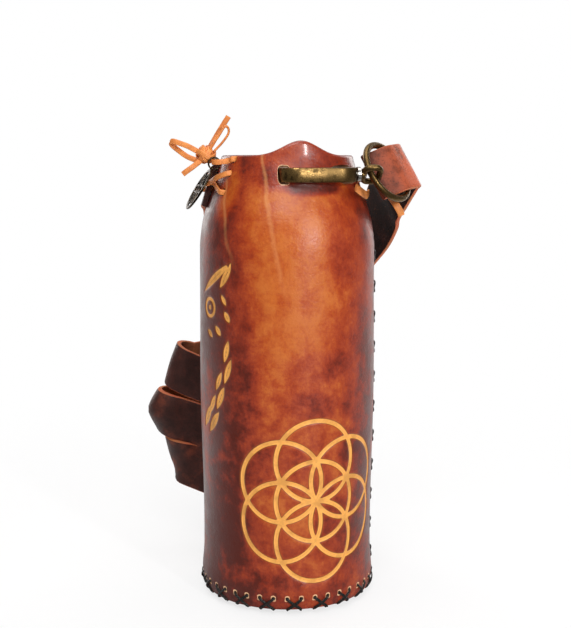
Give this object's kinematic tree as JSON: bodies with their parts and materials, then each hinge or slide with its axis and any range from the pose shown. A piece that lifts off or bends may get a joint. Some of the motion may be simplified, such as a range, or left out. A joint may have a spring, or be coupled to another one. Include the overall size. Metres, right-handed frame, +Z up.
{
  "type": "water bottle case",
  "caption": "Moulded leather case for a metal water bottle, with laced base and seam, a snap hook on a swivel, an O-ring and a wound shoulder strap",
  "frame": {"origin": "on the ground under the middle of the case", "axes": "Z up along the case, -Y towards the viewer of the picture, the lacing of the seam near +X, the wound strap behind at +Y"},
  "size_m": [0.1285, 0.112, 0.2213],
  "materials": {
    "moulded_leather": "glossy hand-dyed vegetable-tanned leather",
    "sole_leather": "dark dyed leather",
    "waxed_thread": "waxed black cord",
    "antique_brass": "antique brass, polished on its high places",
    "nickel": "nickel plate",
    "spring_steel": "plain steel",
    "blackened_brass": "blackened brass, bright on its edges",
    "strap_leather": "dark brown-red dyed strap leather, raw tan edges",
    "lace_leather": "tan lace leather"
  },
  "bodies": {
    "root": {"case_wall": "moulded_leather", "base_disc": "sole_leather", "base_lacing": "waxed_thread", "seam_lacing": "waxed_thread", "hook_body": "antique_brass", "gate_pin": "spring_steel", "gate_spring": "spring_steel", "swivel_post": "nickel", "swivel_collar": "nickel", "strap_down": "strap_leather", "strap_wound": "strap_leather", "strap_up": "strap_leather", "bundle_tie": "lace_leather", "end_lace_middle": "lace_leather", "end_lace_lower": "lace_leather", "bow_knot": "lace_leather", "bow_loop_left": "lace_leather", "bow_loop_right": "lace_leather", "bow_end_left": "lace_leather", "bow_end_right": "lace_leather", "bow_strand": "lace_leather"},
    "gate": {"hook_gate": "antique_brass"},
    "swivel": {"swivel_eye": "antique_brass", "strap_ring_fold": "strap_leather"},
    "ring": {"o_ring": "antique_brass"},
    "pendant": {"jump_ring": "blackened_brass", "charm": "blackened_brass"}
  },
  "joints": [
    {"name": "gate_hinge", "type": "hinge", "parent": "root", "child": "gate", "pos_m": [0.0205, -0.01835, 0.1953], "axis": [0, 0, 1], "range_deg": [0, 18], "stiffness_Nm_per_rad": 0.01, "springref_deg": -17.19},
    {"name": "swivel_turn", "type": "hinge", "parent": "root", "child": "swivel", "pos_m": [0.03683, -0.02228, 0.1953], "axis": [0.9848, 0.1736, 0], "range_deg": [-12, 12], "stiffness_Nm_per_rad": 0.1},
    {"name": "ring_turn", "type": "hinge", "parent": "swivel", "child": "ring", "pos_m": [0.04459, -0.01121, 0.19623], "axis": [0.6875, -0.5246, 0.5021], "continuous": true},
    {"name": "charm_swing", "type": "hinge", "parent": "root", "child": "pendant", "pos_m": [-0.03188, -0.01757, 0.20061], "axis": [-0.225, 0.9744, 0], "range_deg": [0, 28]}
  ]
}
